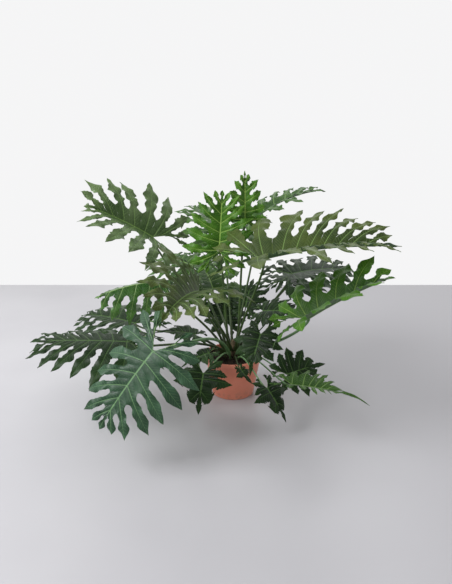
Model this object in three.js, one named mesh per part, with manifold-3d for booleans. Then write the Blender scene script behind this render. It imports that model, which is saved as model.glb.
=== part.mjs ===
// Split-leaf tree philodendron in a plastic nursery pot, in millimetres, +Z up.
// The origin is the middle of the pot's base, on the floor. -Y is the front of the plant.
import * as THREE from 'three';
import { mergeVertices } from 'three/addons/utils/BufferGeometryUtils.js';
import Module from 'manifold-3d';

const wasm = await Module();
wasm.setup();

// ---- Driving dimensions -------------------------------------------------------------------

const clearance = 0.3;          // gap left between pieces that touch

const potTopDiameter = 240;     // over the rim band
const potBaseDiameter = 175;
const potHeight = 170;
const potWall = 2.2;
const potSides = 40;
const rimBandHeight = 14;       // the stiff band round the top
const rimBandDepth = 3;         // how far the band stands out from the wall
const baseThickness = 3;
const drainChannelRadius = 72;  // middle of the raised channel under the base
const drainChannelWidth = 14;
const drainChannelDepth = 4;
const drainHoleDiameter = 9;
const drainHoleCount = 8;

const soilBelowRim = 16;
const soilMound = 8;            // how much higher the peat stands round the stem

const stemRadius = 14;          // the short woody stem that carries the leaf stalks
const stemHeight = 70;          // above the peat
const stemSides = 16;
const stalkRadius = 5;
const stalkSides = 6;
const stalkSteps = 8;
const youngStalkRadius = 3.2;

const growth = 1;               // 1 is the plant as listed below, 1.2 the same plant a fifth larger
const bladeThickness = 1.2;

// ---- The leaves ---------------------------------------------------------------------------
// foot:    where the stalk leaves the stem: degrees round it, and its distance from the bark
// turn:    where the blade is joined to its stalk, in degrees round the pot from +X towards +Y
// beyond:  how far that point is outside the rim of the pot (less than 0 is over the pot)
// up:      its height above the rim
// heading, pitch, roll: which way the midrib points, how steeply it rises, and how far the
//          blade is tipped about it, left half up, in degrees
// length:  of the midrib, from the stalk to the tip
// lobes:   how many lobes stand on each side of the midrib
// droop:   how far the midrib bends down along its length, in degrees
// fold:    how far both halves are folded up from the midrib, in degrees
// bow:     how much the stalk arches up, 0 is straight and less than 0 sags

const adultLeaves = [
  { name: 'upper_left', foot: [165, 18], turn: 180, beyond: 194, up: 488, heading: -160, pitch: 34,
    roll: -46, length: 280, lobes: 5, droop: 12, fold: 38, bow: 0.5, wide: 1.25 },
  { name: 'erect_middle', foot: [178, 6], turn: -168, beyond: -62, up: 439, heading: 65, pitch: 80,
    roll: 12, length: 230, lobes: 5, droop: -5, fold: 22, bow: 0.2 },
  { name: 'erect_top', foot: [12, 6], turn: 35, beyond: -64, up: 556, heading: 95, pitch: 82,
    roll: 0, length: 185, lobes: 4, droop: 0, fold: 25, bow: 0.2, wide: 0.72 },
  { name: 'top_right', foot: [52, 6], turn: 67, beyond: 140, up: 537, heading: 11, pitch: 38,
    roll: 4, length: 335, lobes: 5, droop: 34, fold: 21, bow: 0.3, wide: 0.85 },
  { name: 'right_big', foot: [-62, 6], turn: -67, beyond: 140, up: 450, heading: -8, pitch: 16,
    roll: 12, length: 435, lobes: 7, droop: 18, fold: 33, bow: 0.4 },
  { name: 'right_under', foot: [12, 18], turn: 25, beyond: 160, up: 315, heading: 14, pitch: 10,
    roll: 12, length: 300, lobes: 5, droop: 22, fold: 12, bow: 0.4 },
  { name: 'right_bright', foot: [-42, 18], turn: -50, beyond: 270, up: 254, heading: -13, pitch: 38,
    roll: 13, length: 310, lobes: 4, droop: 12, fold: 41, bow: -0.2 },
  { name: 'centre_big', foot: [-112, 6], turn: -115, beyond: 167, up: 341, heading: -104, pitch: 14,
    roll: -25, length: 340, lobes: 6, droop: 24, fold: 40, bow: 0.4 },
  { name: 'left_light', foot: [-170, 18], turn: -165, beyond: 178, up: 330, heading: -157, pitch: 2,
    roll: -27, length: 245, lobes: 4, droop: 22, fold: -36, bow: 0.4 },
  { name: 'left_dark', foot: [-145, 18], turn: -150, beyond: 330, up: 142, heading: -173, pitch: 6,
    roll: -6, length: 335, lobes: 6, droop: 6, fold: 0, bow: 0.4, wide: 1 },
  { name: 'front_left', foot: [-120, 18], turn: -119, beyond: 407, up: 204, heading: -152, pitch: -46,
    roll: -36, length: 285, lobes: 5, droop: 8, fold: 2, bow: 0.6, wide: 0.95 },
  { name: 'left_back', foot: [172, 30], turn: 166, beyond: 320, up: 95, heading: 156, pitch: 8,
    roll: -10, length: 300, lobes: 5, droop: 16, fold: 10, bow: 0.5 },
  { name: 'back_left', foot: [140, 18], turn: 132, beyond: 145, up: 335, heading: 138, pitch: 8,
    roll: -15, length: 280, lobes: 5, droop: 25, fold: 10, bow: 0.4, wide: 0.9 },
  { name: 'back_top', foot: [100, 6], turn: 95, beyond: 160, up: 434, heading: 128, pitch: 40,
    roll: 0, length: 320, lobes: 5, droop: 28, fold: 10, bow: 0.4 },
  { name: 'back_right', foot: [42, 18], turn: 45, beyond: 256, up: 250, heading: 50, pitch: 12,
    roll: 0, length: 300, lobes: 5, droop: 28, fold: 10, bow: 0.5 },
  { name: 'back_low', foot: [108, 18], turn: 105, beyond: 240, up: 190, heading: 110, pitch: 36,
    roll: 0, length: 300, lobes: 5, droop: 30, fold: 10, bow: 0.5 },
];

const youngLeaves = [
  { name: 'middle_right', foot: [-14, 30], turn: -20, beyond: 5, up: 200, heading: -30, pitch: 14,
    roll: 24, length: 155, lobes: 3, droop: 20, fold: 10, bow: 0.3, wide: 1 },
  { name: 'front_high', foot: [-66, 30], turn: -65, beyond: 110, up: 165, heading: -120, pitch: -50,
    roll: 0, length: 160, lobes: 3, droop: 10, fold: 10, bow: 0.4 },
  { name: 'front_left_high', foot: [-128, 32], turn: -130, beyond: 32, up: 50, heading: -165,
    pitch: -12, roll: 0, length: 125, lobes: 2, droop: 20, fold: 10, bow: 0.4 },
  { name: 'middle_back', foot: [70, 32], turn: 62, beyond: -4, up: 174, heading: 72, pitch: 46,
    roll: 0, length: 166, lobes: 3, droop: 20, fold: 10, bow: 0.3 },
  { name: 'front_low', foot: [-104, 32], turn: -108, beyond: 228, up: 67, heading: -104, pitch: -55,
    roll: 0, length: 140, lobes: 2, droop: 10, fold: 8, bow: 0.6, wide: 1.3 },
  { name: 'over_rim', foot: [-84, 32], turn: -81, beyond: 51, up: 5, heading: -35, pitch: -40,
    roll: 0, length: 70, lobes: 1, droop: 0, fold: 10, bow: 0.75 },
  { name: 'front_right_low', foot: [-72, 42], turn: -67, beyond: 186, up: -15, heading: -47,
    pitch: -40, roll: 0, length: 135, lobes: 2, droop: 10, fold: 10, bow: 0.6, wide: 1.05 },
  { name: 'right_low', foot: [-30, 32], turn: -30, beyond: 128, up: -36, heading: 14, pitch: 15,
    roll: 40, length: 165, lobes: 3, droop: 10, fold: 10, bow: 0.7, wide: 1.1 },
  { name: 'right_long', foot: [-56, 32], turn: -60, beyond: 275, up: 30, heading: -16, pitch: 2,
    roll: -4, length: 265, lobes: 5, droop: 14, fold: 24, bow: 0.5, wide: 0.6 },
  { name: 'middle_dark', foot: [24, 32], turn: 22, beyond: 56, up: 150, heading: 8, pitch: 28,
    roll: 10, length: 150, lobes: 3, droop: 20, fold: 10, bow: 0.3 },
  { name: 'left_inner', foot: [-158, 38], turn: -160, beyond: 44, up: 105, heading: -175, pitch: 17,
    roll: -4, length: 163, lobes: 3, droop: 20, fold: 10, bow: 0.3, wide: 0.9 },
  { name: 'back_young', foot: [100, 44], turn: 98, beyond: 139, up: 54, heading: 96, pitch: 44,
    roll: 0, length: 190, lobes: 3, droop: 20, fold: 10, bow: 0.5, wide: 1.1 },
];

// How the two ages of blade are cut. cut: where the gaps between lobes end, as a share of the
// vein. widest: where along the vein a lobe is widest. fill: how much of the room between
// neighbouring veins the lobes take. sideReach and rearReach: length of the longest side lobe and
// of the rear lobes, as shares of the midrib. tip: length of the lobe at the end of the midrib.
// foremost and hindmost: where the first and last side veins leave the midrib. frontAngle: angle
// between the midrib and the first side vein.
const adultShape = { cut: 0.34, widest: 0.66, fill: 0.74, sideReach: 0.62, rearLobes: 4, rearRib: 0.23,
  rearReach: 0.64, tip: 0.16, foremost: 0.76, hindmost: 0.14, frontAngle: 32, sag: 0.16 };
const youngShape = { cut: 0.6, widest: 0.78, fill: 0.8, sideReach: 0.62, rearLobes: 3, rearRib: 0.2,
  rearReach: 0.5, tip: 0.42, foremost: 0.44, hindmost: 0.14, frontAngle: 42, sag: 0.1 };

// ---- Helpers ------------------------------------------------------------------------------

const rad = THREE.MathUtils.degToRad;

// A number from 0 to 1 that looks random but is the same on every run.
function scatter(i, k) {
  const wave = Math.sin(i * 12.9898 + k * 78.233) * 43758.5453;
  return wave - Math.floor(wave);
}

// Where a walk of this length ends, seen from its start, when it sets out at the angle start and
// turns back by bend for each millimetre: [ahead, aside].
function arc(start, bend, length) {
  if (Math.abs(bend) < 1e-6) return [Math.cos(start) * length, Math.sin(start) * length];
  const end = start - bend * length;
  return [(Math.sin(start) - Math.sin(end)) / bend, (Math.cos(end) - Math.cos(start)) / bend];
}

function toManifold(geometry) {
  const bare = geometry.clone();
  bare.deleteAttribute('normal');
  bare.deleteAttribute('uv');
  const merged = mergeVertices(bare, 1e-4);
  const solid = new wasm.Mesh({
    numProp: 3,
    vertProperties: new Float32Array(merged.attributes.position.array),
    triVerts: new Uint32Array(merged.index.array),
  });
  return new wasm.Manifold(solid);
}

function toGeometry(solid) {
  const result = solid.getMesh();
  const geometry = new THREE.BufferGeometry();
  geometry.setAttribute('position', new THREE.BufferAttribute(result.vertProperties, 3));
  geometry.setIndex(new THREE.BufferAttribute(result.triVerts, 1));
  geometry.computeVertexNormals();
  return geometry;
}

function material(color, roughness) {
  return new THREE.MeshStandardMaterial({ color, roughness, metalness: 0 });
}

function part(name, geometry, finish) {
  const mesh = new THREE.Mesh(geometry, finish);
  mesh.name = name;
  return mesh;
}

// A closed solid turned about the Z axis from [radius, height] corners, which run from the
// bottom of the axis round the outside to its top.
function turned(corners, sides) {
  const geometry = new THREE.LatheGeometry(corners.map(([r, z]) => new THREE.Vector2(r, z)), sides);
  geometry.rotateX(Math.PI / 2);
  return geometry;
}

// ---- Pot, peat and stem -------------------------------------------------------------------

const rimRadius = potTopDiameter / 2;
const baseRadius = potBaseDiameter / 2;
const bandTopRadius = rimRadius - rimBandDepth;
const wallSlope = (bandTopRadius - baseRadius) / potHeight;
const soilTop = potHeight - soilBelowRim;

function innerRadius(height) {
  return baseRadius + wallSlope * height - potWall;
}

function makePot() {
  const channelIn = drainChannelRadius - drainChannelWidth / 2;
  const channelOut = drainChannelRadius + drainChannelWidth / 2;
  const channelTop = drainChannelDepth + baseThickness;
  const corners = [
    [0, 0], [channelIn - 2, 0], [channelIn, drainChannelDepth], [channelOut, drainChannelDepth],
    [channelOut + 2, 0], [baseRadius - 1, 0], [baseRadius, 1],
    [baseRadius + wallSlope * (potHeight - rimBandHeight), potHeight - rimBandHeight],
    [rimRadius, potHeight - rimBandHeight + 1], [rimRadius, potHeight - 1],
    [rimRadius - 1, potHeight], [innerRadius(potHeight) + 1, potHeight],
    [innerRadius(potHeight), potHeight - 1], [innerRadius(channelTop), channelTop],
    [channelIn, channelTop], [channelIn - 3, baseThickness], [0, baseThickness],
  ];
  let pot = toManifold(turned(corners, potSides));
  for (let i = 0; i < drainHoleCount; i++) {
    const angle = (i + 0.5) * 2 * Math.PI / drainHoleCount;
    const cutter = new THREE.CylinderGeometry(drainHoleDiameter / 2, drainHoleDiameter / 2, 30, 12);
    cutter.rotateX(Math.PI / 2);
    cutter.translate(drainChannelRadius * Math.cos(angle), drainChannelRadius * Math.sin(angle), 5);
    pot = pot.subtract(toManifold(cutter));
  }
  return toGeometry(pot);
}

function makeSoil() {
  const bottom = drainChannelDepth + baseThickness + clearance;
  const edge = innerRadius(soilTop) - clearance;
  return turned([
    [0, bottom], [innerRadius(bottom) - clearance, bottom], [edge, soilTop],
    [edge * 0.85, soilTop + 1.5], [edge * 0.5, soilTop + soilMound * 0.7],
    [stemRadius * 1.5, soilTop + soilMound], [0, soilTop + soilMound],
  ], potSides);
}

const stemFoot = soilTop + soilMound + clearance;

function makeStem() {
  return turned([
    [0, stemFoot], [stemRadius, stemFoot], [stemRadius, stemFoot + stemHeight * 0.8],
    [stemRadius * 0.6, stemFoot + stemHeight], [0, stemFoot + stemHeight],
  ], stemSides);
}

// ---- Blades -------------------------------------------------------------------------------

function attachment(leaf) {
  const angle = rad(leaf.turn);
  const out = (rimRadius + leaf.beyond) * growth;
  return new THREE.Vector3(out * Math.cos(angle), out * Math.sin(angle), potHeight + leaf.up * growth);
}

// The three directions of the blade at a distance s along the midrib, and the midrib's point.
function bladeFrame(leaf, s) {
  const bend = rad(leaf.droop) / (leaf.length * growth);
  const pitch = rad(leaf.pitch) - bend * s;
  const heading = rad(leaf.heading);
  const roll = rad(leaf.roll);
  const level = new THREE.Vector3(Math.cos(heading), Math.sin(heading), 0);
  const side = new THREE.Vector3(-Math.sin(heading), Math.cos(heading), 0);
  const upright = new THREE.Vector3(0, 0, Math.cos(pitch)).addScaledVector(level, -Math.sin(pitch));
  const [ahead, rise] = arc(rad(leaf.pitch), bend, s);
  const point = attachment(leaf).addScaledVector(level, ahead);
  point.z += rise;
  return {
    point,
    left: side.clone().multiplyScalar(Math.cos(roll)).addScaledVector(upright, Math.sin(roll)),
    normal: upright.clone().multiplyScalar(Math.cos(roll)).addScaledVector(side, -Math.sin(roll)),
  };
}

// The place of a point that lies s along the midrib and u to its left on the flat blade, dip below.
function onBlade(leaf, s, u, dip) {
  const { point, left, normal } = bladeFrame(leaf, s);
  const curl = rad(leaf.curl ?? 30) / (leaf.length * growth);
  const [out, lift] = arc(rad(leaf.fold), curl, Math.abs(u));
  return point.addScaledVector(left, Math.sign(u) * out).addScaledVector(normal, lift - dip);
}

// The veins of one half of the blade, from the tip round to the rear: the root of each on the
// ribs, and a function that gives the flat point at a share t of its length.
function veins(leaf, shape, seed) {
  const length = leaf.length * growth;
  const wide = leaf.wide ?? 1;
  const list = [];
  const addVein = (s, u, angle, reach) => {
    const bend = rad(16) / reach;
    const start = rad(angle) + rad(8);
    list.push({ root: [s, u], reach, at: (t) => {
      const [ahead, aside] = arc(start, bend, reach * t);
      return [s + ahead, u + aside];
    } });
  };
  const tipReach = length * shape.tip;
  list.push({ root: [length - tipReach, 0], reach: tipReach, at: (t) => [length - tipReach * (1 - t), 0] });
  for (let k = 0; k < leaf.lobes; k++) {
    const back = leaf.lobes > 1 ? k / (leaf.lobes - 1) : 1;
    const reach = wide * shape.sideReach * (0.45 + 0.55 * Math.sin(rad(90) * back ** 0.7)) * length;
    const root = length * (shape.foremost + (shape.hindmost - shape.foremost) * back);
    addVein(root, 0, shape.frontAngle + 40 * back + 8 * (scatter(seed, k) - 0.5),
      reach * (0.92 + 0.16 * scatter(seed, k + 20)));
  }
  for (let k = 0; k < shape.rearLobes; k++) {
    const back = k / (shape.rearLobes - 1);
    const along = shape.rearRib * length * back;
    addVein(along * Math.cos(rad(142)), along * Math.sin(rad(142)), 88 + 78 * back,
      wide * shape.rearReach * (1 - 0.6 * back) * length * (0.92 + 0.16 * scatter(seed, k + 40)));
  }
  return list;
}

// One blade: a patch along the ribs for each vein, and a lobe with a pointed end beyond it.
function makeBlade(leaf, shape, seed) {
  const points = [];
  const faces = [];
  const known = new Map();
  const add = (s, u, dip) => {
    const key = s.toFixed(2) + ',' + u.toFixed(2);
    if (!known.has(key)) {
      known.set(key, points.length);
      points.push(onBlade(leaf, s, u, dip));
    }
    return known.get(key);
  };
  for (const half of [1, -1]) {
    const flat = ([s, u], dip = 0) => add(s, half * u, dip);
    const face = (...corners) => {
      if (half < 0) corners.reverse();
      for (let i = 1; i < corners.length - 1; i++) faces.push([corners[0], corners[i], corners[i + 1]]);
    };
    const mix = (a, b, share) => [a[0] + (b[0] - a[0]) * share, a[1] + (b[1] - a[1]) * share];
    const row = veins(leaf, shape, seed + (half > 0 ? 0 : 60));
    const edgeOf = (i, j, t) => {
      const own = row[i].at(t);
      if (row[j]) return mix(own, row[j].at(t), shape.fill / 2);
      return mix(own, row[2 * i - j].at(t), -shape.fill / 2);
    };
    for (let i = 0; i < row.length; i++) {
      const vein = row[i];
      const sag = shape.sag * vein.reach * (0.4 + 1.2 * scatter(seed, i + 80 + half));
      const root = flat(vein.root);
      const middle = flat(vein.at(shape.cut));
      const broad = flat(vein.at(shape.widest), sag * 0.35);
      const tip = flat(vein.at(1), sag);
      const gapTo = (j) => row[j]
        ? flat(mix(vein.at(shape.cut), row[j].at(shape.cut), 0.5))
        : flat(edgeOf(i, j, shape.cut));
      if (i > 0) {
        const gap = gapTo(i - 1);
        const edge = flat(edgeOf(i, i - 1, shape.widest), sag * 0.35);
        face(root, flat(mix(vein.root, row[i - 1].root, 0.5)), gap, middle);
        face(middle, gap, edge, broad);
        face(broad, edge, tip);
      }
      const gap = gapTo(i + 1);
      const edge = flat(edgeOf(i, i + 1, shape.widest), sag * 0.35);
      if (row[i + 1]) face(flat(mix(vein.root, row[i + 1].root, 0.5)), root, middle, gap);
      else face(root, middle, gap);
      face(gap, middle, broad, edge);
      face(edge, broad, tip);
    }
  }
  return thickened(points, faces, bladeThickness);
}

// A closed solid from an open sheet: a copy of it one thickness lower, joined along the rim.
function thickened(points, faces, thickness) {
  const sheet = new THREE.BufferGeometry();
  sheet.setAttribute('position', new THREE.Float32BufferAttribute(points.flatMap((p) => p.toArray()), 3));
  sheet.setIndex(faces.flat());
  sheet.computeVertexNormals();
  const normal = sheet.attributes.normal;
  const lower = points.map((p, i) =>
    p.clone().addScaledVector(new THREE.Vector3().fromBufferAttribute(normal, i), -thickness));
  const count = points.length;
  const all = faces.map((f) => [...f]);
  for (const [a, b, c] of faces) all.push([c + count, b + count, a + count]);
  const edges = new Set(faces.flatMap(([a, b, c]) => [a + '>' + b, b + '>' + c, c + '>' + a]));
  for (const edge of edges) {
    const [a, b] = edge.split('>').map(Number);
    if (edges.has(b + '>' + a)) continue;
    all.push([a, a + count, b + count], [a, b + count, b]);
  }
  const solid = new THREE.BufferGeometry();
  const corners = [...points, ...lower].flatMap((p) => p.toArray());
  solid.setAttribute('position', new THREE.Float32BufferAttribute(corners, 3));
  solid.setIndex(all.flat());
  solid.computeVertexNormals();
  return solid;
}

// ---- Stalks -------------------------------------------------------------------------------

// The stalks closest to the stem leave it higher up than the outer ones, which stand on the peat.
function stalkFoot(fromBark) {
  return stemFoot + 4 + Math.max(0, 30 - fromBark);
}

// A stalk rises beside the stem, arches over to its blade and ends just under the blade's joint.
function makeStalk(leaf, radius) {
  const { point, normal } = bladeFrame(leaf, 0);
  const [place, fromBark] = leaf.foot;
  const distance = stemRadius + fromBark;
  const foot = new THREE.Vector3(distance * Math.cos(rad(place)), distance * Math.sin(rad(place)),
    stalkFoot(fromBark));
  const under = radius * (0.8 + Math.tan(rad(Math.max(0, -leaf.fold)))) + bladeThickness + clearance * 2;
  const end = point.clone().addScaledVector(normal, -under);
  const chord = end.clone().sub(foot);
  const third = chord.length() * 0.36;
  const away = chord.clone().normalize();
  const upward = new THREE.Vector3(0, 0, 1);
  const leave = away.clone().multiplyScalar(1 - leaf.bow).addScaledVector(upward, leaf.bow).normalize();
  const arrive = away.clone().addScaledVector(normal, 0.6).normalize();
  const path = new THREE.CubicBezierCurve3(foot, foot.clone().addScaledVector(leave, third),
    end.clone().addScaledVector(arrive, -chord.length() * 0.2), end);
  const section = new THREE.Shape();
  for (let i = 0; i < stalkSides; i++) {
    const angle = i * 2 * Math.PI / stalkSides;
    const corner = [radius * Math.cos(angle), radius * Math.sin(angle)];
    if (i === 0) section.moveTo(...corner);
    else section.lineTo(...corner);
  }
  section.closePath();
  return new THREE.ExtrudeGeometry(section, { extrudePath: path, steps: stalkSteps });
}

// ---- The plant ----------------------------------------------------------------------------

const plant = new THREE.Group();
plant.add(part('pot', makePot(), material(0xc5664e, 0.4)));
plant.add(part('soil', makeSoil(), material(0x2a211b, 0.95)));
plant.add(part('stem', makeStem(), material(0x5b4a36, 0.85)));

const adultGreen = material(0x2f5a2a, 0.45);
const youngGreen = material(0x24472a, 0.4);
const stalkGreen = material(0x46682f, 0.5);

function addLeaves(leaves, shape, finish, radius, firstSeed) {
  leaves.forEach((leaf, i) => {
    plant.add(part('stalk_' + leaf.name, makeStalk(leaf, radius), stalkGreen));
    plant.add(part('blade_' + leaf.name, makeBlade(leaf, shape, firstSeed + i), finish));
  });
}

addLeaves(adultLeaves, adultShape, adultGreen, stalkRadius, 1);
addLeaves(youngLeaves, youngShape, youngGreen, youngStalkRadius, 101);

export default plant;
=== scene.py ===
import math

import bpy
import numpy as np
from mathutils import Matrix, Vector, noise


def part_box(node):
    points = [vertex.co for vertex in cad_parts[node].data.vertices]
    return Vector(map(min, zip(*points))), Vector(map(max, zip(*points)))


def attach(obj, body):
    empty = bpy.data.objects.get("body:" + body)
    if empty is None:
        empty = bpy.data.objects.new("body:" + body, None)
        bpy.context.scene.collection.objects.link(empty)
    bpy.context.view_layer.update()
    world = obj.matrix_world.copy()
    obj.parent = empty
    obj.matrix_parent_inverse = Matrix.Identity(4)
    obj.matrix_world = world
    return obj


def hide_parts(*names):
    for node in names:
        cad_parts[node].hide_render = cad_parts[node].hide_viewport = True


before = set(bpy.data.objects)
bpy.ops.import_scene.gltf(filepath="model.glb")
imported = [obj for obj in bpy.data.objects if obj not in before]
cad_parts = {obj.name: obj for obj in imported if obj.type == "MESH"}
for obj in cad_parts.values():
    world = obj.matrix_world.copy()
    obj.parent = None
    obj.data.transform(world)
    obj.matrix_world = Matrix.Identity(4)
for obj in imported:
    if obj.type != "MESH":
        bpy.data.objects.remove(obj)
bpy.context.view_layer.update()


# ---- Camera, light and floor ----------------------------------------------------------------
# The plant stands on a plain pale floor in a bright room. The light is broad and soft: a large
# panel over the left shoulder, a weaker one from the right, and a white room all round.

def deselect_all():
    if bpy.context.mode != "OBJECT":
        bpy.ops.object.mode_set(mode="OBJECT")
    bpy.ops.object.select_all(action="DESELECT")


CAMERA_PLACE = (-0.0294, -1.75, 0.9215)
CAMERA_TILT = 15.5          # degrees down from level
deselect_all()
bpy.ops.object.camera_add(location=CAMERA_PLACE, rotation=(math.radians(90 - CAMERA_TILT), 0, 0))
camera = bpy.context.object
camera.data.lens = 27.74
camera.data.sensor_fit = "AUTO"
camera.data.sensor_width = 36
bpy.context.scene.camera = camera


def soft_panel(name, place, aim, size, power, colour):
    turn = (Vector(aim) - Vector(place)).to_track_quat("-Z", "Y").to_euler()
    bpy.ops.object.light_add(type="AREA", location=place, rotation=turn)
    panel = bpy.context.object
    panel.name = name
    panel.data.shape = "RECTANGLE"
    panel.data.size, panel.data.size_y = size
    panel.data.energy = power
    panel.data.color = colour


soft_panel("window_panel", (-2.6, -1.2, 2.9), (0, 0, 0.5), (2.2, 1.8), 150, (0.98, 0.99, 1))
soft_panel("fill_panel", (2.8, -1.6, 2.2), (0, 0, 0.4), (2.2, 2.2), 18, (1, 0.99, 0.97))
soft_panel("back_panel", (0.8, 2.6, 3.0), (0, 0, 0.5), (3.0, 2.0), 30, (0.98, 0.99, 1))

room = bpy.data.worlds.new("white_room")
bpy.context.scene.world = room
room.use_nodes = True
backdrop = room.node_tree.nodes["Background"]
compass = room.node_tree.nodes.new("ShaderNodeTexCoord")
parts = room.node_tree.nodes.new("ShaderNodeSeparateXYZ")
depth = room.node_tree.nodes.new("ShaderNodeMapRange")
shade = room.node_tree.nodes.new("ShaderNodeMix")
depth.inputs["From Min"].default_value = -0.6
depth.inputs["From Max"].default_value = 0.5
shade.data_type = "RGBA"
shade.inputs[6].default_value = (0.34, 0.343, 0.348, 1)      # the room behind the viewer
shade.inputs[7].default_value = (0.915, 0.915, 0.92, 1)      # the white wall behind the plant
room.node_tree.links.new(compass.outputs["Generated"], parts.inputs[0])
room.node_tree.links.new(parts.outputs[1], depth.inputs["Value"])
room.node_tree.links.new(depth.outputs["Result"], shade.inputs[0])
room.node_tree.links.new(shade.outputs[2], backdrop.inputs["Color"])
backdrop.inputs["Strength"].default_value = 1.0
bpy.context.scene.view_settings.view_transform = "Standard"

FLOOR_BACK = 1.79
deselect_all()
bpy.ops.mesh.primitive_plane_add(size=1)
floor = bpy.context.object
floor.name = "floor"
floor.scale = (9, 7, 1)
floor.location = (0, FLOOR_BACK - 3.5, -0.0005)
bpy.ops.object.transform_apply(location=True, rotation=False, scale=True)


# A material keeps its nodes in one list, so each finish below is a short chain of these calls.
class Finish:
    def __init__(self, name, roughness, gloss=0.5):
        self.material = bpy.data.materials.new(name)
        self.material.use_nodes = True
        self.tree = self.material.node_tree
        self.shader = self.tree.nodes["Principled BSDF"]
        self.shader.inputs["Roughness"].default_value = roughness
        self.shader.inputs["Specular IOR Level"].default_value = gloss

    def node(self, kind, inputs=None, **settings):
        made = self.tree.nodes.new(kind)
        for key, value in settings.items():
            setattr(made, key, value)
        for key, value in (inputs or {}).items():
            self.feed(made.inputs[key], value)
        return made

    def feed(self, socket, value):
        if hasattr(value, "is_output"):
            self.tree.links.new(value, socket)
        elif isinstance(value, tuple) and len(value) == 3 and socket.type == "RGBA":
            socket.default_value = (*value, 1)
        else:
            socket.default_value = value

    def place(self):
        return self.node("ShaderNodeTexCoord").outputs["Object"]

    def stretched(self, scale):
        return self.node("ShaderNodeMapping", {"Vector": self.place(), "Scale": scale}).outputs[0]

    def cloud(self, scale, detail=3, where=None, rough=0.5):
        made = self.node("ShaderNodeTexNoise", {"Vector": where or self.place(), "Scale": scale,
                                                "Detail": detail, "Roughness": rough})
        return made.outputs["Fac"]

    def sums(self, operation, first, second=0.0, clamp=False):
        made = self.node("ShaderNodeMath", {0: first, 1: second}, operation=operation, use_clamp=clamp)
        return made.outputs[0]

    def between(self, value, low, high, start=0.0, stop=1.0):
        made = self.node("ShaderNodeMapRange", {"Value": value, "From Min": low, "From Max": high,
                                                "To Min": start, "To Max": stop},
                         interpolation_type="SMOOTHSTEP")
        return made.outputs["Result"]

    def blend(self, share, first, second):
        made = self.node("ShaderNodeMix", data_type="RGBA")
        self.feed(made.inputs[0], share)
        self.feed(made.inputs[6], first)
        self.feed(made.inputs[7], second)
        return made.outputs[2]

    def colour(self, value):
        self.feed(self.shader.inputs["Base Color"], value)

    def rough(self, value):
        self.feed(self.shader.inputs["Roughness"], value)

    def bump(self, height, distance, strength=1.0):
        made = self.node("ShaderNodeBump", {"Height": height, "Distance": distance,
                                            "Strength": strength})
        last = self.shader.inputs["Normal"]
        if last.is_linked:
            self.tree.links.new(last.links[0].from_socket, made.inputs["Normal"])
        self.feed(last, made.outputs["Normal"])


screed = Finish("pale_screed", 0.33, 0.4)
patches = screed.between(screed.cloud(1.4), 0.3, 0.7)
tone = screed.blend(patches, (0.44, 0.432, 0.452), (0.48, 0.472, 0.490))
# Painted shade: the floor goes darker towards the right, away from the window panel on the left.
across = screed.node("ShaderNodeSeparateXYZ", {0: screed.place()}).outputs[0]
screed.colour(screed.blend(screed.between(across, -0.9, 1.1), tone, (0.385, 0.378, 0.398)))
screed.bump(screed.cloud(220, 2), 0.0002, 0.4)
floor.data.materials.append(screed.material)


# ---- Pot --------------------------------------------------------------------------------------
# A tapered nursery pot moulded in one piece from thin terracotta-coloured plastic: a stiff band
# turned out round the rim, a raised channel under the base and drain holes through it.

pot_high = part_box("pot")[1]
POT_HEIGHT = pot_high[2]
RIM_RADIUS = pot_high[0]
BASE_RADIUS = 0.0875
BAND_HEIGHT = 0.014
BAND_DEPTH = 0.003
WALL = 0.0022
WALL_SLOPE = (RIM_RADIUS - BAND_DEPTH - BASE_RADIUS) / POT_HEIGHT
POT_SIDES = 128


def wall_radius(height):
    return BASE_RADIUS + WALL_SLOPE * height


def turned_piece(name, rings, sides):
    """A solid of revolution: a filled disc at the first ring, drawn out ring by ring and closed."""
    deselect_all()
    radius, height = rings[0]
    bpy.ops.mesh.primitive_circle_add(vertices=sides, radius=radius, fill_type="NGON",
                                      location=(0, 0, height))
    piece = bpy.context.object
    piece.name = name
    bpy.ops.object.transform_apply(location=True, rotation=False, scale=False)
    bpy.ops.object.mode_set(mode="EDIT")
    bpy.ops.mesh.select_all(action="SELECT")
    for new_radius, new_height in rings[1:]:
        bpy.ops.mesh.extrude_region_move(TRANSFORM_OT_translate={"value": (0, 0, new_height - height)})
        share = new_radius / radius
        bpy.ops.transform.resize(value=(share, share, 1), center_override=(0, 0, new_height))
        radius, height = new_radius, new_height
    bpy.ops.mesh.select_all(action="SELECT")
    bpy.ops.mesh.normals_make_consistent(inside=False)
    bpy.ops.object.mode_set(mode="OBJECT")
    return piece


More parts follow.
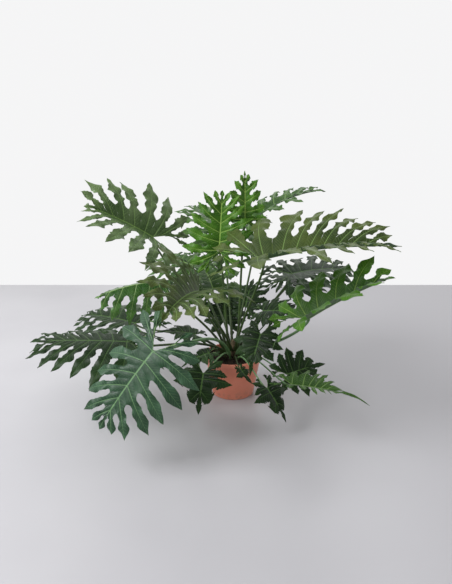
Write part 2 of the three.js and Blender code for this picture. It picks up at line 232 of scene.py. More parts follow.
CHANNEL_TOP = 0.004
LIP = wall_radius(POT_HEIGHT) - WALL        # inner radius at the top of the pot
BAND_FOOT = POT_HEIGHT - BAND_HEIGHT
pot_rings = [
    (0.065, 0.0), (0.0655, CHANNEL_TOP), (0.0785, CHANNEL_TOP), (0.0795, 0.0),
    (BASE_RADIUS - 0.0015, 0.0), (BASE_RADIUS - 0.0004, 0.0005), (BASE_RADIUS, 0.002),
    (wall_radius(0.05), 0.05), (wall_radius(0.1), 0.1),
    (wall_radius(POT_HEIGHT - 0.030), POT_HEIGHT - 0.030),
    (wall_radius(POT_HEIGHT - 0.029) + 0.0008, POT_HEIGHT - 0.0285),
    (wall_radius(BAND_FOOT - 0.001) + 0.0008, BAND_FOOT - 0.001),
    (RIM_RADIUS - 0.0012, BAND_FOOT - 0.0006), (RIM_RADIUS - 0.0003, BAND_FOOT + 0.0004),
    (RIM_RADIUS - 0.0001, POT_HEIGHT - 0.0016), (RIM_RADIUS - 0.0005, POT_HEIGHT - 0.0005),
    (RIM_RADIUS - 0.0014, POT_HEIGHT), (LIP + 0.0010, POT_HEIGHT), (LIP + 0.0002, POT_HEIGHT - 0.0006),
    (LIP, POT_HEIGHT - 0.002), (wall_radius(0.1) - WALL, 0.1),
    (wall_radius(0.007) - WALL, 0.007), (0.064, 0.0068), (0.062, 0.003),
]
pot = turned_piece("nursery_pot", pot_rings, POT_SIDES)

DRAIN_HOLES = 8
DRAIN_RADIUS = 0.0045
DRAIN_CIRCLE = 0.072        # radius of the circle that the holes stand on, in the raised channel
for i in range(DRAIN_HOLES):
    angle = (i + 0.5) * 2 * math.pi / DRAIN_HOLES
    place = (DRAIN_CIRCLE * math.cos(angle), DRAIN_CIRCLE * math.sin(angle), 0.005)
    deselect_all()
    bpy.ops.mesh.primitive_cylinder_add(vertices=24, radius=DRAIN_RADIUS, depth=0.03, location=place)
    drill = bpy.context.object
    cut = pot.modifiers.new("drain_hole", "BOOLEAN")
    cut.operation = "DIFFERENCE"
    cut.object = drill
    bpy.context.view_layer.objects.active = pot
    bpy.ops.object.modifier_apply(modifier=cut.name)
    bpy.data.objects.remove(drill)
deselect_all()
pot.select_set(True)
bpy.context.view_layer.objects.active = pot
bpy.ops.object.shade_smooth_by_angle(angle=math.radians(40))

plastic = Finish("terracotta_plastic", 0.36, 0.5)
patches = plastic.between(plastic.cloud(9), 0.35, 0.7)
tone = plastic.blend(patches, (0.80, 0.255, 0.160), (0.86, 0.295, 0.190))
height = plastic.node("ShaderNodeSeparateXYZ", {0: plastic.place()}).outputs[2]
specks = plastic.between(plastic.cloud(60, 5), 0.45, 0.65)
dust = plastic.sums("MULTIPLY", plastic.between(height, 0.05, 0.0), specks)
tone = plastic.blend(plastic.sums("MULTIPLY", dust, 0.5), tone, (0.42, 0.22, 0.15))
spots = plastic.between(plastic.cloud(34, 6), 0.5, 0.68)
splash = plastic.sums("MULTIPLY", plastic.between(height, 0.125, 0.17), spots)
tone = plastic.blend(plastic.sums("MULTIPLY", splash, 0.28), tone, (0.75, 0.42, 0.32))
plastic.colour(tone)
scuffs = plastic.cloud(1, 4, plastic.stretched((40, 40, 420)))
plastic.rough(plastic.between(scuffs, 0.35, 0.75, 0.30, 0.50))
plastic.bump(plastic.cloud(240, 3), 0.0002, 0.35)
plastic.bump(plastic.cloud(1, 2, plastic.stretched((2, 2, 260))), 0.0003, 0.35)
pot.data.materials.append(plastic.material)
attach(pot, "root")
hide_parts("pot")


# ---- Peat -------------------------------------------------------------------------------------
# Dark moist peat, a little mounded round the stem, with a crumbly top of lumps and bark fibres.

soil_low, soil_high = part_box("soil")
PEAT_TOP = POT_HEIGHT - 0.016
PEAT_GAP = WALL + 0.0006        # from the outside of the pot to the peat
PEAT_EDGE = wall_radius(PEAT_TOP) - PEAT_GAP
PEAT_MOUND = 0.8 * (soil_high[2] - PEAT_TOP)
PEAT_SHOULDER = PEAT_TOP - 0.012
peat_rings = [(wall_radius(soil_low[2]) - PEAT_GAP, soil_low[2]),
              (wall_radius(PEAT_SHOULDER) - PEAT_GAP, PEAT_SHOULDER)]
PEAT_RINGS = 26
for i in range(PEAT_RINGS + 1):
    share = 1 - i / PEAT_RINGS
    radius = max(PEAT_EDGE * share, 0.002)
    peat_rings.append((radius, PEAT_TOP + PEAT_MOUND * (1 - share ** 1.5)))
peat = turned_piece("peat", peat_rings, 96)
for corner in peat.data.vertices:
    if corner.co.z > PEAT_TOP - 0.001:
        reach = math.hypot(corner.co.x, corner.co.y)
        calm = min(1, (PEAT_EDGE - reach) / 0.004)
        lump = noise.noise(corner.co * 70) * 0.0028 + noise.noise(corner.co * 190) * 0.0016
        corner.co.z += calm * lump

CRUMBS = 420
GOLDEN_TURN = 2.399963          # radians from one crumb to the next, which spreads them evenly
crumbs = []
for i in range(CRUMBS):
    angle = GOLDEN_TURN * i
    reach = (PEAT_EDGE - 0.004) * math.sqrt((i + 0.5) / CRUMBS)
    size = 0.0011 + 0.0026 * abs(noise.noise(Vector((i * 0.731, 4.2, 1.7)))) * 2
    x, y = reach * math.cos(angle), reach * math.sin(angle)
    rise = PEAT_TOP + PEAT_MOUND * (1 - (reach / PEAT_EDGE) ** 1.5)
    deselect_all()
    bpy.ops.mesh.primitive_ico_sphere_add(subdivisions=1, radius=size,
                                          location=(x, y, rise + size * 0.2),
                                          rotation=(i * 0.7, i * 1.3, i * 2.1))
    crumb = bpy.context.object
    crumb.scale = (1.5, 0.9, 0.7) if i % 3 else (2.6, 0.5, 0.5)
    crumbs.append(crumb)
deselect_all()
for crumb in crumbs:
    crumb.select_set(True)
peat.select_set(True)
bpy.context.view_layer.objects.active = peat
bpy.ops.object.join()
bpy.ops.object.transform_apply(location=True, rotation=True, scale=True)
bpy.ops.object.shade_smooth_by_angle(angle=math.radians(50))

earth = Finish("moist_peat", 0.92, 0.25)
grain = earth.cloud(420, 6, rough=0.7)
lumps = earth.between(earth.cloud(75, 5), 0.35, 0.7)
tone = earth.blend(lumps, (0.012, 0.0085, 0.006), (0.045, 0.028, 0.017))
tone = earth.blend(earth.between(grain, 0.6, 0.75, 0, 0.6), tone, (0.12, 0.075, 0.045))
earth.colour(tone)
earth.bump(grain, 0.0012, 0.8)
peat.data.materials.append(earth.material)
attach(peat, "root")
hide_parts("soil")


# ---- Stem -------------------------------------------------------------------------------------
# One short woody stem carries every leaf. Fallen leaves have left rings of pale scars round it,
# and its bark between them is streaked and a little swollen.

stem_low, stem_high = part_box("stem")
STEM_RADIUS = stem_high[0]
stem_rings = [(STEM_RADIUS * 0.9, PEAT_TOP)]
SCARS = 9
for i in range(SCARS * 4):
    share = i / (SCARS * 4 - 1)
    swell = 0.5 + 0.5 * math.cos(i / 4 * 2 * math.pi)
    taper = 1 - 0.45 * max(0, share - 0.55) / 0.45
    stem_rings.append((STEM_RADIUS * taper * (0.86 + 0.12 * swell),
                       stem_low[2] + (stem_high[2] - stem_low[2]) * (0.02 + 0.93 * share)))
stem_rings.append((STEM_RADIUS * 0.2, stem_high[2] - 0.0005))
stem = turned_piece("stem", stem_rings, 40)
for corner in stem.data.vertices:
    around = Vector((corner.co.x, corner.co.y, 0)).normalized()
    corner.co += around * noise.noise(corner.co * 120) * 0.0009
deselect_all()
stem.select_set(True)
bpy.context.view_layer.objects.active = stem
bpy.ops.object.shade_smooth()

bark = Finish("stem_bark", 0.8, 0.3)
streaks = bark.cloud(1, 4, bark.stretched((160, 160, 30)))
rings = bark.cloud(1, 3, bark.stretched((12, 12, 330)))
tone = bark.blend(bark.between(streaks, 0.35, 0.7), (0.055, 0.036, 0.02), (0.16, 0.12, 0.065))
tone = bark.blend(bark.between(rings, 0.56, 0.66, 0, 0.7), tone, (0.27, 0.22, 0.14))
bark.colour(tone)
bark.bump(streaks, 0.0010, 0.6)
stem.data.materials.append(bark.material)
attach(stem, "root")
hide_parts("stem")


# ---- Stalks -----------------------------------------------------------------------------------
# Each leaf hangs on a smooth fleshy stalk. It clasps the stem with a broad sheath, tapers as it
# arches out, and ends in a slightly swollen, paler knee where the ribs of the blade begin.

# Each leaf: its name, the finish of its blade, the foot of its stalk (degrees round the stem, and
# metres from its middle), the joint of stalk and blade (degrees round the pot, metres beyond the
# rim, metres above it), then heading, pitch and roll of the blade in degrees, length of the midrib
# in metres, lobes on each side, droop and fold in degrees, bow of the stalk and width of the blade.
# Last come the share of the room between veins that a lobe fills, how deep its teeth are, and
# where along it the taper to its point begins.
OLD_LEAVES = [
    ("upper_left", "grey", (165, 0.032), (180, 0.194, 0.488), -160, 34, -46, 0.28, 5,
     12, 38, 0.5, 1.25, 0.6, 0.26, 0.48),
    ("erect_middle", "bright", (178, 0.02), (-168, -0.062, 0.439), 65, 80, 12, 0.23, 5,
     -5, 22, 0.2, 1, 0.66, 0.22, 0.48),
    ("erect_top", "bright", (12, 0.02), (35, -0.064, 0.556), 95, 82, 0, 0.185, 4,
     0, 25, 0.2, 0.72, 0.7, 0.22, 0.48),
    ("top_right", "green", (52, 0.02), (67, 0.14, 0.537), 11, 38, 4, 0.335, 5,
     34, 21, 0.3, 0.85, 0.56, 0.26, 0.48),
    ("right_big", "olive", (-62, 0.02), (-67, 0.14, 0.45), -8, 16, 12, 0.435, 7,
     18, 33, 0.4, 1, 0.6, 0.26, 0.48),
    ("right_under", "dark", (12, 0.032), (25, 0.16, 0.315), 14, 10, 12, 0.3, 5,
     22, 12, 0.4, 1, 0.62, 0.26, 0.48),
    ("right_bright", "bright", (-42, 0.032), (-50, 0.27, 0.254), -13, 38, 13, 0.31, 4,
     12, 41, -0.2, 1, 0.64, 0.12, 0.55),
    ("centre_big", "olive", (-112, 0.02), (-115, 0.167, 0.341), -104, 14, -25, 0.34, 6,
     24, 40, 0.4, 1, 0.66, 0.26, 0.48),
    ("left_light", "glossy", (-170, 0.032), (-165, 0.178, 0.33), -157, 2, -27, 0.245, 4,
     22, -36, 0.4, 1, 0.58, 0.3, 0.48),
    ("left_dark", "dark", (-145, 0.032), (-150, 0.33, 0.142), -173, 6, -6, 0.335, 6,
     6, 0, 0.4, 1, 0.72, 0.2, 0.48),
    ("front_left", "blue", (-120, 0.032), (-119, 0.407, 0.204), -152, -46, -36, 0.285, 5,
     8, 2, 0.6, 0.95, 0.6, 0.07, 0.62),
    ("left_back", "dark", (172, 0.044), (166, 0.32, 0.095), 156, 8, -10, 0.3, 5,
     16, 10, 0.5, 1, 0.66, 0.26, 0.48),
    ("back_left", "green", (140, 0.032), (132, 0.145, 0.335), 138, 8, -15, 0.28, 5,
     25, 10, 0.4, 0.9, 0.68, 0.26, 0.48),
    ("back_top", "green", (100, 0.02), (95, 0.16, 0.434), 128, 40, 0, 0.32, 5,
     28, 10, 0.4, 1, 0.62, 0.26, 0.48),
    ("back_right", "dark", (42, 0.032), (45, 0.256, 0.25), 50, 12, 0, 0.3, 5,
     28, 10, 0.5, 1, 0.66, 0.26, 0.48),
    ("back_low", "green", (108, 0.032), (105, 0.24, 0.19), 110, 36, 0, 0.3, 5,
     30, 10, 0.5, 1, 0.7, 0.26, 0.48),
]
YOUNG_LEAVES = [
    ("middle_right", "dark", (-14, 0.044), (-20, 0.005, 0.2), -30, 14, 24, 0.155, 3,
     20, 10, 0.3, 1, 0.92, 0.2, 0.12),
    ("front_high", "dark", (-66, 0.044), (-65, 0.11, 0.165), -120, -50, 0, 0.16, 3,
     10, 10, 0.4, 1, 0.92, 0.2, 0.12),
    ("front_left_high", "dark", (-128, 0.046), (-130, 0.032, 0.05), -165, -12, 0, 0.125, 2,
     20, 10, 0.4, 1, 0.92, 0.2, 0.12),
    ("middle_back", "dark", (70, 0.046), (62, -0.004, 0.174), 72, 46, 0, 0.166, 3,
     20, 10, 0.3, 1, 0.92, 0.2, 0.12),
    ("front_low", "dark", (-104, 0.046), (-108, 0.228, 0.067), -104, -55, 0, 0.14, 2,
     10, 8, 0.6, 1.3, 0.92, 0.2, 0.12),
    ("over_rim", "dark", (-84, 0.046), (-81, 0.051, 0.005), -35, -40, 0, 0.07, 1,
     0, 10, 0.75, 1, 0.8, 0.2, 0.12),
    ("front_right_low", "dark", (-72, 0.056), (-67, 0.186, -0.015), -47, -40, 0, 0.135, 2,
     10, 10, 0.6, 1.05, 0.92, 0.2, 0.12),
    ("right_low", "dark", (-30, 0.046), (-30, 0.128, -0.036), 14, 15, 40, 0.165, 3,
     10, 10, 0.7, 1.1, 0.92, 0.2, 0.12),
    ("right_long", "green", (-56, 0.046), (-60, 0.275, 0.03), -16, 2, -4, 0.265, 5,
     14, 24, 0.5, 0.6, 0.62, 0.2, 0.12),
    ("middle_dark", "dark", (24, 0.046), (22, 0.056, 0.15), 8, 28, 10, 0.15, 3,
     20, 10, 0.3, 1, 0.92, 0.2, 0.12),
    ("left_inner", "dark", (-158, 0.052), (-160, 0.044, 0.105), -175, 17, -4, 0.163, 3,
     20, 10, 0.3, 0.9, 0.92, 0.2, 0.12),
    ("back_young", "dark", (100, 0.058), (98, 0.139, 0.054), 96, 44, 4, 0.19, 3,
     20, 10, 0.5, 1.1, 0.92, 0.2, 0.12),
]
LEAF_KEYS = ("name", "finish", "foot", "joint", "heading", "pitch", "roll", "length", "lobes",
             "droop", "fold", "bow", "wide", "full", "teeth", "shoulder")
old_leaves = [dict(zip(LEAF_KEYS, row)) for row in OLD_LEAVES]
young_leaves = [dict(zip(LEAF_KEYS, row)) for row in YOUNG_LEAVES]


def arc(start, bend, length):
    """How far ahead and aside a walk ends that sets out at an angle and turns back by bend."""
    length = np.asarray(length, float)
    if abs(bend) < 1e-6:
        return np.cos(start) * length, np.sin(start) * length
    end = start - bend * length
    return (math.sin(start) - np.sin(end)) / bend, (np.cos(end) - math.cos(start)) / bend


def blade_directions(leaf, s):
    """Points of the midrib at the distances s from the joint, and left and normal of the blade."""
    bend = math.radians(leaf["droop"]) / leaf["length"]
    first_pitch = math.radians(leaf["pitch"])
    pitch = first_pitch - bend * s
    heading = math.radians(leaf["heading"])
    roll = math.radians(leaf["roll"])
    turn, beyond, up = leaf["joint"]
    out = RIM_RADIUS + beyond
    turn = math.radians(turn)
    joint = np.array([out * math.cos(turn), out * math.sin(turn), POT_HEIGHT + up])
    level = np.array([math.cos(heading), math.sin(heading), 0])
    side = np.array([-math.sin(heading), math.cos(heading), 0])
    upright = np.outer(np.cos(pitch), [0, 0, 1]) - np.outer(np.sin(pitch), level)
    ahead, rise = arc(first_pitch, bend, s)
    points = joint + np.outer(ahead, level) + np.outer(rise, [0, 0, 1])
    left = math.cos(roll) * side + math.sin(roll) * upright
    normal = math.cos(roll) * upright - math.sin(roll) * side
    return points, left, normal


def stalk_finish(name, dark, light, shaded):
    """Streaked and flecked green, browner and darker towards its foot by the share shaded: partly the
    stalk's own brown base, partly painted shade low down among the leaves.
    """
    skin = Finish(name, 0.42, 0.4)
    streaks = skin.cloud(1, 4, skin.stretched((150, 150, 22)))
    height = skin.node("ShaderNodeSeparateXYZ", {0: skin.place()}).outputs[2]
    tone = skin.blend(skin.between(streaks, 0.35, 0.7), dark, light)
    # Painted shade with the stalk's own browning: darker and browner below 0.42 m, fully so below 0.18
    # m, most on the upright stalks in the middle.
    brown_and_shaded_foot = skin.sums("MULTIPLY", skin.between(height, 0.42, 0.18), shaded)
    tone = skin.blend(brown_and_shaded_foot, tone, (0.030, 0.042, 0.014))
    flecks = skin.node("ShaderNodeTexVoronoi",
                       {"Vector": skin.stretched((1, 1, 0.4)), "Scale": 260})
    fleck = skin.between(flecks.outputs["Distance"], 0.16, 0.08)
    tone = skin.blend(skin.sums("MULTIPLY", fleck, 0.22), tone, (0.25, 0.32, 0.13))
    skin.colour(tone)
    skin.rough(skin.between(streaks, 0.3, 0.7, 0.34, 0.5))
    skin.bump(streaks, 0.0005, 0.5)
    return skin.material


upright_stalk = stalk_finish("upright_stalk", (0.030, 0.066, 0.012), (0.070, 0.130, 0.026), 0.8)
arching_stalk = stalk_finish("arching_stalk", (0.090, 0.190, 0.075), (0.170, 0.310, 0.125), 0.1)

STALK_CUTS = 9
FOOT_RISE = 0.004           # from the foot of the stem to the foot of the outermost stalks
FOOT_SPREAD = 0.044         # stalks nearer to the stem's middle than this leave it higher up


def make_stalk(leaf, thickness, finish):
    """A bevelled curve from the foot to just under the joint, wide at the foot and the knee."""
    points, _, normals = blade_directions(leaf, np.zeros(1))
    joint, normal = Vector(points[0]), Vector(normals[0])
    turn, distance = leaf["foot"]
    turn = math.radians(turn)
    foot = Vector((distance * math.cos(turn), distance * math.sin(turn),
                   stem_low[2] + FOOT_RISE + max(0, FOOT_SPREAD - distance)))
    end = joint - normal * (thickness * 0.55)
    chord = end - foot
    away = chord.normalized()
    leave = (away * (1 - leaf["bow"]) + Vector((0, 0, 1)) * leaf["bow"]).normalized()
    arrive = (away + normal * 0.6).normalized()
    deselect_all()
    bpy.ops.curve.primitive_bezier_curve_add(location=(0, 0, 0))
    stalk = bpy.context.object
    stalk.name = "leafstalk_" + leaf["name"]
    first, last = stalk.data.splines[0].bezier_points
    for point in (first, last):
        point.handle_left_type = point.handle_right_type = "FREE"
    first.co = foot
    first.handle_left = foot - leave * 0.01
    first.handle_right = foot + leave * chord.length * 0.36
    last.co = end
    last.handle_left = end - arrive * chord.length * 0.2
    last.handle_right = end + arrive * 0.01
    bpy.ops.object.mode_set(mode="EDIT")
    bpy.ops.curve.select_all(action="SELECT")
    bpy.ops.curve.subdivide(number_cuts=STALK_CUTS)
    bpy.ops.object.mode_set(mode="OBJECT")
    line = stalk.data.splines[0].bezier_points
    for i, point in enumerate(line):
        share = i / (len(line) - 1)
        sheath = 0.42 * math.exp(-share / 0.07)
        knee = 0.14 * math.exp(-((share - 0.97) / 0.03) ** 2)
        point.radius = 1.02 - 0.28 * share + sheath + knee
    stalk.data.dimensions = "3D"
    stalk.data.bevel_depth = thickness
    stalk.data.bevel_resolution = 3
    stalk.data.resolution_u = 5
    stalk.data.use_fill_caps = True
    bpy.ops.object.convert(target="MESH")
    bpy.ops.object.shade_smooth_by_angle(angle=math.radians(60))
    stalk.data.materials.append(finish)
    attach(stalk, "root")
    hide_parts("stalk_" + leaf["name"])


THICK_STALKS = ("right_bright", "front_left")
PALE_STALKS = ("right_long", "front_right_low", "right_low", "front_low")
for leaf in old_leaves:
    if leaf["name"] in THICK_STALKS:
        make_stalk(leaf, 0.006, arching_stalk)
    else:
        make_stalk(leaf, 0.005, upright_stalk)
for leaf in young_leaves:
    if leaf["name"] in PALE_STALKS:
        make_stalk(leaf, 0.0034, arching_stalk)
    else:
        make_stalk(leaf, 0.0032, upright_stalk)


# ---- Blades -----------------------------------------------------------------------------------
# A blade is one leathery sheet, cut nearly to the ribs into long lobes with wavy, frilled edges.
# Pale ribs branch from the joint: the midrib to the tip, two rear ribs, and a vein to each lobe,
# sunk a little in the upper face and standing out underneath.

# How the two ages of blade are cut. cut: where the gaps between lobes end, as a share of the vein.
# side_reach and rear_reach: length of the longest side lobe and of the rear lobes, rear_rib: length
# of the rear ribs, tip: length of the lobe at the end, foremost: where the first side vein leaves
# the midrib, all as shares of the midrib. front_angle: degrees between the midrib and that vein.
# sag and frill: how far lobes hang and how high their edges wave. rib: thickness over a vein.
OLD_CUT = dict(cut=0.30, side_reach=0.62, rear_lobes=4, rear_rib=0.23, rear_reach=0.64,
               tip=0.16, foremost=0.76, front_angle=32, sag=0.16, frill=0.0055, rib=0.0034)
YOUNG_CUT = dict(cut=0.55, side_reach=0.62, rear_lobes=3, rear_rib=0.20, rear_reach=0.50,
                 tip=0.42, foremost=0.44, front_angle=42, sag=0.10, frill=0.0030, rib=0.0020)
HINDMOST = 0.14             # where the last side vein leaves the midrib
REAR_TURN = 142             # degrees from the midrib round to a rear rib
VEIN_LIFT = 8               # degrees a vein sets out beyond its angle, and bends back twice that
EDGE_CURL = 30              # degrees a blade curls up from the midrib over a midrib's length
THIN_SHARE = 0.22           # thickness between the veins, as a share of that over a vein
ACROSS = 11                 # corners across a lobe
INNER_ROWS = (0, 0.03, 0.08, 0.2, 0.4, 0.62, 0.82, 1)
OUTER_ROWS = [i / 31 + 0.012 * math.sin(2 * math.pi * i / 31) for i in range(1, 32)]


def scatter(i, k):
    """A number from 0 to 1 that looks random but is the same on every run."""
    wave = math.sin(i * 12.9898 + k * 78.233) * 43758.5453
    return wave - math.floor(wave)


def half_veins(leaf, cut, seed):
    """Veins of one half from the tip round to the rear: root, angle and reach on the flat blade."""
    length = leaf["length"]
    veins = []
    for k in range(leaf["lobes"]):
        back = k / (leaf["lobes"] - 1) if leaf["lobes"] > 1 else 1
        growth = 0.45 + 0.55 * math.sin(math.pi / 2 * back ** 0.7)
        reach = leaf["wide"] * cut["side_reach"] * growth * length
        root = length * (cut["foremost"] + (HINDMOST - cut["foremost"]) * back)
        angle = cut["front_angle"] + 40 * back + 8 * (scatter(seed, k) - 0.5)
        veins.append((root, 0, angle, reach * (0.92 + 0.16 * scatter(seed, k + 20))))
    for k in range(cut["rear_lobes"]):
        back = k / (cut["rear_lobes"] - 1)
        along = cut["rear_rib"] * length * back
        reach = leaf["wide"] * cut["rear_reach"] * (1 - 0.6 * back) * length
        veins.append((along * math.cos(math.radians(REAR_TURN)),
                      along * math.sin(math.radians(REAR_TURN)), 88 + 78 * back,
                      reach * (0.92 + 0.16 * scatter(seed, k + 40))))
    return veins


def vein_point(vein, half, t):
    """Flat points at the shares t of a vein that bends a little towards the tip."""
    s, u, angle, reach = vein
    bends = angle > 0
    ahead, aside = arc(math.radians(angle) + math.radians(VEIN_LIFT) * bends,
                       math.radians(2 * VEIN_LIFT) / reach * bends, reach * t)
    return np.stack([s + ahead, half * (u + aside)], axis=-1)


def lobe_width(leaf, outer, v, mark, turn):
    """Share of the room beside its vein that a lobe takes, from its root to its tip."""
    swing = 2 * math.pi * ((2.3 + 1.2 * scatter(mark, 3)) * outer + scatter(mark, turn))
    small = 2 * math.pi * ((6.0 + 2.0 * scatter(mark, 5)) * outer + scatter(mark, turn + 1))
    tooth = 0.62 * np.sin(swing + 0.7 * np.sin(swing)) + 0.38 * np.sin(small)
    point = outer - 0.5 - 0.2 * scatter(mark, turn + 6)
    branch = 1.2 * leaf["teeth"] * scatter(mark, turn + 2) * np.exp(-(point / 0.09) ** 2)
    belly = 0.80 + 0.30 * np.sin(math.pi * np.clip(outer / 1.1, 0, 1) ** 1.3)
    taper = 1 - np.clip((outer - leaf["shoulder"]) / (1 - leaf["shoulder"]), 0, 1) ** 1.6
    uneven = (leaf["teeth"] * tooth + branch) * np.minimum(1, outer / 0.15)
    width = leaf["full"] * taper * (belly + uneven)
    neck = np.exp(-outer / 0.05)
    width = np.where(outer > 0, np.maximum(width, 0) * (1 - neck) + neck, 1.0)
    return np.minimum(width, 1 - 0.10 * np.clip(outer / 0.1, 0, 1)), taper


def make_blade(leaf, cut, seed, upper, under):
    """A grid with a strip of columns for each lobe, laid along its vein and given its thickness."""
    tip_reach = leaf["length"] * cut["tip"]
    left = [(vein, 1, i + 1) for i, vein in enumerate(half_veins(leaf, cut, seed))]
    right = [(vein, -1, i + 1) for i, vein in enumerate(half_veins(leaf, cut, seed + 60))]
    tip = [((leaf["length"] - tip_reach, 0, 0, tip_reach), 1, 0)]
    lobes = left[::-1] + tip + right
    t = np.array([cut["cut"] * row for row in INNER_ROWS]
                 + [cut["cut"] + (1 - cut["cut"]) * row for row in OUTER_ROWS])
    outer = np.clip((t - cut["cut"]) / (1 - cut["cut"]), 0, 1)
    rows, columns = len(t), len(lobes) * ACROSS
    lines = [vein_point(vein, half, t) for vein, half, _ in lobes]
    lines = [2 * lines[0] - lines[1]] + lines + [2 * lines[-1] - lines[-2]]

    deselect_all()
    bpy.ops.mesh.primitive_grid_add(x_subdivisions=columns - 1, y_subdivisions=rows - 1, size=1)
    blade = bpy.context.object
    blade.name = "leaf_" + leaf["name"]

    flat = np.zeros((rows, columns, 2))
    raised, along, aside, share, heavy = np.zeros((5, rows, columns))
    for number, (vein, half, index) in enumerate(lobes):
        own = lines[number + 1]
        reach = vein[3]
        sag = cut["sag"] * reach * (0.4 + 1.2 * scatter(seed, index + 80 + half))
        mark = seed * 31 + number * 7
        for k in range(ACROSS):
            v = 2 * k / (ACROSS - 1) - 1
            other = lines[number] if v < 0 else lines[number + 2]
            turn = 3.1 * (v > 0)
            width, taper = lobe_width(leaf, outer, v, mark, turn)
            step = (other - own) * 0.5 * (width * abs(v))[:, None]
            waves = (2.4 + 1.1 * scatter(mark, 9)) * t * reach / 0.16 + scatter(mark, 11 + turn)
            frill = cut["frill"] * abs(v) ** 1.5 * np.sin(2 * math.pi * waves)
            frill *= np.clip((t - 0.1) / 0.4, 0, 1) * (width > 0)
            pillow = 0.0015 * np.sin(math.pi * abs(v)) * np.clip(t / 0.15, 0, 1) * (1 - outer * 0.5)
            rib = np.exp(-(t * reach / 0.0045) ** 2)
            side_rib = 0.55 * (1 - t) * math.exp(-(v / 0.16) ** 2)
            column = number * ACROSS + k
            flat[:, column] = own + step
            raised[:, column] = frill * np.minimum(1, taper + 0.15) + pillow - sag * outer ** 1.6
            along[:, column] = t * reach
            aside[:, column] = np.linalg.norm(step, axis=1) * np.sign(v)
            share[:, column] = t
            heavy[:, column] = np.maximum(rib, side_rib)

    s = flat[..., 0].ravel()
    u = flat[..., 1].ravel()
    points, sideways, normal = blade_directions(leaf, s)
    out, lift = arc(math.radians(leaf["fold"]), math.radians(EDGE_CURL) / leaf["length"], np.abs(u))
    places = points + sideways * (np.sign(u) * out)[:, None] + normal * (lift + raised.ravel())[:, None]
    mesh = blade.data
    mesh.vertices.foreach_set("co", places.ravel())

    # Two maps carry the place on a lobe: decimetres along and beside its vein, and the shares.
    for name in ("vein", "share"):
        mesh.uv_layers.new(name=name)
    while mesh.uv_layers[0].name not in ("vein", "share"):
        mesh.uv_layers.remove(mesh.uv_layers[0])
    order = np.zeros(len(mesh.loops), dtype=np.int32)
    mesh.loops.foreach_get("vertex_index", order)
    lateral = np.tile(np.abs(2 * np.arange(ACROSS) / (ACROSS - 1) - 1), rows * len(lobes))
    vein_map = np.stack([along.ravel()[order] * 10, 0.5 + aside.ravel()[order] * 10], -1)
    share_map = np.stack([share.ravel()[order], lateral[order]], -1)
    mesh.uv_layers["vein"].data.foreach_set("uv", vein_map.ravel())
    mesh.uv_layers["share"].data.foreach_set("uv", share_map.ravel())

    weights = blade.vertex_groups.new(name="thickness")
    for i, value in enumerate(heavy.ravel()):
        weights.add([i], THIN_SHARE + (1 - THIN_SHARE) * float(value), "REPLACE")

    # The strips of faces between neighbouring lobes go, and the lobes meet where they touch.
    bpy.ops.object.mode_set(mode="EDIT")
    bpy.ops.mesh.select_mode(type="FACE")
    bpy.ops.mesh.select_all(action="DESELECT")
    bpy.ops.object.mode_set(mode="OBJECT")
    for face in mesh.polygons:
        first = min(corner % columns for corner in face.vertices)
        face.select = first % ACROSS == ACROSS - 1
    bpy.ops.object.mode_set(mode="EDIT")
    bpy.ops.mesh.delete(type="FACE")
    bpy.ops.mesh.select_all(action="SELECT")
    bpy.ops.mesh.remove_doubles(threshold=0.00004)
    bpy.ops.object.mode_set(mode="OBJECT")

    solid = blade.modifiers.new("thickness", "SOLIDIFY")
    solid.thickness = cut["rib"]
    solid.offset = -1
    solid.vertex_group = "thickness"
    solid.material_offset = 1
    solid.material_offset_rim = 1
    mesh.materials.append(upper)
    mesh.materials.append(under)
    bpy.ops.object.modifier_apply(modifier=solid.name)
    bpy.ops.object.shade_smooth_by_angle(angle=math.radians(55))
    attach(blade, "root")
    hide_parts("blade_" + leaf["name"])


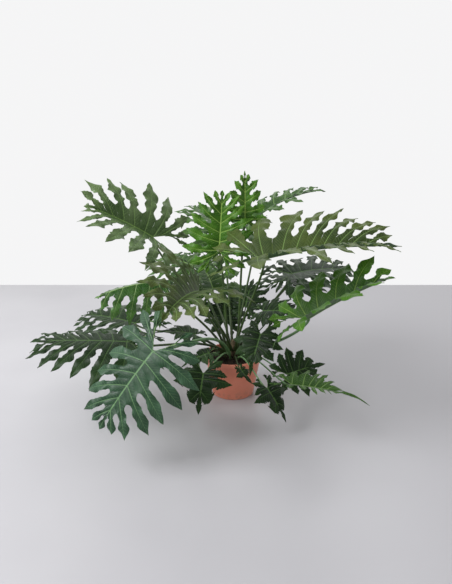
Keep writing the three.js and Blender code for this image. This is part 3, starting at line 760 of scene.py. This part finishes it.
def leaf_finish(name, dark, light, rib, gloss, sheen, veined):
    """The upper face: mottled green between pale veins, half glossy."""
    skin = Finish(name, gloss, sheen)
    where = skin.node("ShaderNodeUVMap", uv_map="vein").outputs[0]
    parts = skin.node("ShaderNodeSeparateXYZ", {0: where})
    along, side = parts.outputs[0], skin.sums("ABSOLUTE", skin.sums("SUBTRACT", parts.outputs[1], 0.5))
    on_lobe = skin.node("ShaderNodeUVMap", uv_map="share").outputs[0]
    shares = skin.node("ShaderNodeSeparateXYZ", {0: on_lobe})
    share, lateral = shares.outputs[0], shares.outputs[1]
    wide = skin.between(share, 0, 1, 0.024, 0.006)
    main = skin.sums("SUBTRACT", 1, skin.sums("DIVIDE", side, wide), clamp=True)
    main = skin.between(main, 0.05, 0.6)
    rib_line = skin.between(along, 0.04, 0.014)
    bent = skin.sums("SUBTRACT", along, skin.sums("MULTIPLY", side, 1.15))
    wobble = skin.sums("MULTIPLY", skin.cloud(26, 2), 0.09)
    branch = skin.sums("FRACT", skin.sums("MULTIPLY", skin.sums("ADD", bent, wobble), 9.0))
    branch = skin.sums("ABSOLUTE", skin.sums("SUBTRACT", branch, 0.5))
    branch_line = skin.sums("MULTIPLY", skin.between(branch, 0.10, 0.02), skin.between(lateral, 1, 0.55))
    mottle = skin.sums("ADD", skin.cloud(11, 4), skin.sums("MULTIPLY", share, 0.30))
    tone = skin.blend(skin.between(mottle, 0.40, 0.88), dark, light)
    fine = skin.between(skin.cloud(150, 3), 0.3, 0.7, 0, 0.18)
    tone = skin.blend(fine, tone, tuple(c * 1.5 for c in light))
    tone = skin.blend(skin.sums("MULTIPLY", branch_line, 0.30 * veined), tone, rib)
    tone = skin.blend(skin.sums("MULTIPLY", main, 0.70 * veined), tone, rib)
    tone = skin.blend(skin.sums("MULTIPLY", rib_line, 0.8), tone, rib)
    # Painted light: the lobe edges go lighter, standing in for light showing through the thin margin.
    edge = skin.between(lateral, 0.93, 1.0, 0, 0.3)
    tone = skin.blend(edge, tone, tuple(c * 1.7 for c in light))
    skin.colour(tone)
    skin.rough(skin.between(skin.cloud(38, 4), 0.3, 0.7, gloss - 0.07, gloss + 0.09))
    groove = skin.sums("ADD", skin.sums("MULTIPLY", main, -1), skin.sums("MULTIPLY", branch_line, -0.6))
    skin.bump(groove, 0.0011, 0.8)
    skin.bump(skin.cloud(330, 3), 0.0003, 0.35)
    skin.bump(skin.cloud(55, 3), 0.0012, 0.45)
    return skin.material


def underside_finish(name, dark, light, rib):
    """The under face: paler and duller, with the veins standing out."""
    skin = Finish(name, 0.55, 0.35)
    where = skin.node("ShaderNodeUVMap", uv_map="vein").outputs[0]
    parts = skin.node("ShaderNodeSeparateXYZ", {0: where})
    along, side = parts.outputs[0], skin.sums("ABSOLUTE", skin.sums("SUBTRACT", parts.outputs[1], 0.5))
    main = skin.between(side, 0.02, 0.006)
    rib_line = skin.between(along, 0.05, 0.02)
    tone = skin.blend(skin.between(skin.cloud(14, 4), 0.32, 0.68), dark, light)
    tone = skin.blend(skin.sums("MULTIPLY", main, 0.5), tone, rib)
    tone = skin.blend(skin.sums("MULTIPLY", rib_line, 0.8), tone, rib)
    skin.colour(tone)
    skin.rough(skin.between(skin.cloud(60, 3), 0.3, 0.7, 0.48, 0.64))
    skin.bump(skin.cloud(240, 3), 0.0004, 0.4)
    return skin.material


pale_rib = (0.22, 0.36, 0.10)
fresh_rib = (0.30, 0.46, 0.10)
upper_finishes = {
    "olive": leaf_finish("olive_leaf", (0.018, 0.036, 0.006), (0.064, 0.092, 0.017),
                         pale_rib, 0.42, 0.18, 0.8),
    "green": leaf_finish("green_leaf", (0.013, 0.046, 0.006), (0.044, 0.108, 0.016),
                         pale_rib, 0.42, 0.18, 0.9),
    "bright": leaf_finish("bright_leaf", (0.018, 0.074, 0.004), (0.066, 0.178, 0.014),
                          fresh_rib, 0.40, 0.18, 1),
    "glossy": leaf_finish("glossy_leaf", (0.018, 0.080, 0.010), (0.080, 0.200, 0.036),
                          (0.30, 0.46, 0.14), 0.27, 0.5, 1),
    # Painted reflection: this green is tinted blue for the sky reflected in the upper face of the blade.
    "blue": leaf_finish("green_leaf_with_painted_sky", (0.012, 0.040, 0.018), (0.036, 0.088, 0.044),
                        (0.16, 0.30, 0.13), 0.42, 0.28, 1),
    # Painted shade: the leaf's own dark green deepened nearly to black, for the young leaves and the old
    # ones that sit under and behind others.
    "dark": leaf_finish("deep_green_leaf_painted_shade", (0.004, 0.013, 0.003), (0.014, 0.038, 0.008),
                        (0.08, 0.16, 0.04), 0.40, 0.18, 0.8),
    "grey": leaf_finish("grey_green_leaf", (0.040, 0.082, 0.022), (0.115, 0.175, 0.070),
                        pale_rib, 0.42, 0.22, 0.8),
}
under_pale = underside_finish("pale_underside", (0.060, 0.125, 0.045), (0.095, 0.175, 0.065),
                              (0.22, 0.34, 0.13))
under_dark = underside_finish("dark_underside", (0.035, 0.075, 0.030), (0.055, 0.105, 0.042),
                              (0.16, 0.25, 0.09))

for i, leaf in enumerate(old_leaves):
    make_blade(leaf, OLD_CUT, 1 + i, upper_finishes[leaf["finish"]], under_pale)
for i, leaf in enumerate(young_leaves):
    make_blade(leaf, YOUNG_CUT, 101 + i, upper_finishes[leaf["finish"]], under_dark)
